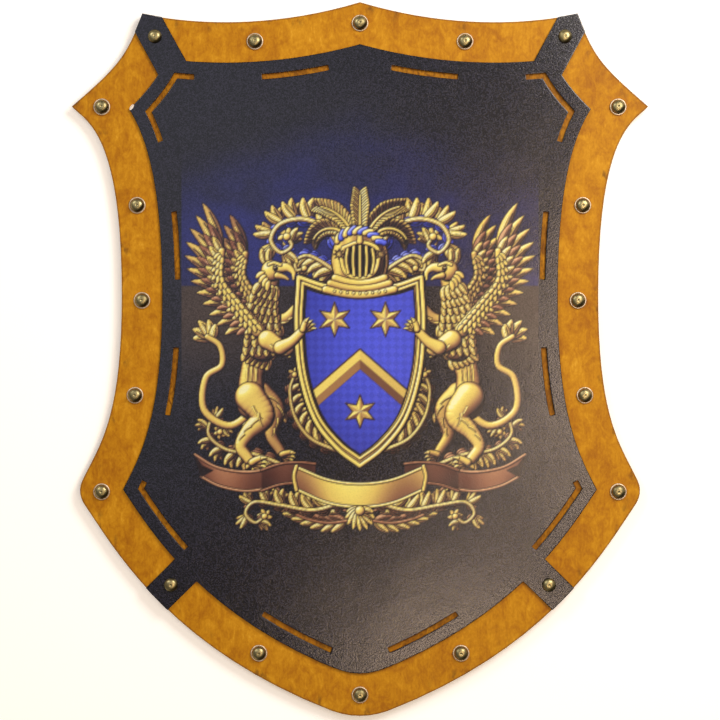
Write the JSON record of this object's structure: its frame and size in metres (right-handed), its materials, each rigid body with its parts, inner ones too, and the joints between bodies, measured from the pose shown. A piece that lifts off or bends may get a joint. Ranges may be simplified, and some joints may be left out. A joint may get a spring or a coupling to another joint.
{
  "type": "wall shield",
  "caption": "Flat shield-shaped plywood board with a slotted leather panel laid on it and domed nails round the border.",
  "frame": {"origin": "under the middle of the outline's box, in the plane of the board's flat back", "axes": "+Z out of the shield's face, +Y from its foot to its peak, +X to the right as the face is looked at"},
  "size_m": [0.3634, 0.45, 0.0129],
  "materials": {
    "stained_plywood": "birch plywood stained orange-tan and sealed satin, with scorched laser-cut edges",
    "printed_leather": "fine-grained dark navy leather with a printed picture, satin",
    "antique_brass": "dull antique brass",
    "bright_brass": "bright polished brass"
  },
  "bodies": {
    "root": {"backing_board": "stained_plywood", "leather_panel": "printed_leather", "nail_peak": "antique_brass", "nail_top_left": "antique_brass", "nail_top_right": "antique_brass", "nail_corner_left": "antique_brass", "nail_corner_right": "antique_brass", "nail_spur_left": "antique_brass", "nail_spur_right": "antique_brass", "nail_flank_upper_left": "antique_brass", "nail_flank_upper_right": "antique_brass", "nail_flank_middle_left": "antique_brass", "nail_flank_middle_right": "antique_brass", "nail_flank_lower_left": "antique_brass", "nail_flank_lower_right": "antique_brass", "nail_shoulder_left": "antique_brass", "nail_shoulder_right": "antique_brass", "nail_arm_left": "antique_brass", "nail_arm_right": "antique_brass", "nail_keel_left": "antique_brass", "nail_keel_right": "antique_brass", "nail_foot": "antique_brass", "washer_peak": "bright_brass", "washer_top_left": "bright_brass", "washer_top_right": "bright_brass", "washer_spur_left": "bright_brass", "washer_spur_right": "bright_brass", "washer_flank_upper_left": "bright_brass", "washer_flank_upper_right": "bright_brass", "washer_flank_middle_left": "bright_brass", "washer_flank_middle_right": "bright_brass", "washer_flank_lower_left": "bright_brass", "washer_flank_lower_right": "bright_brass", "washer_shoulder_left": "bright_brass", "washer_shoulder_right": "bright_brass", "washer_keel_left": "bright_brass", "washer_keel_right": "bright_brass", "washer_foot": "bright_brass"}
  },
  "joints": []
}
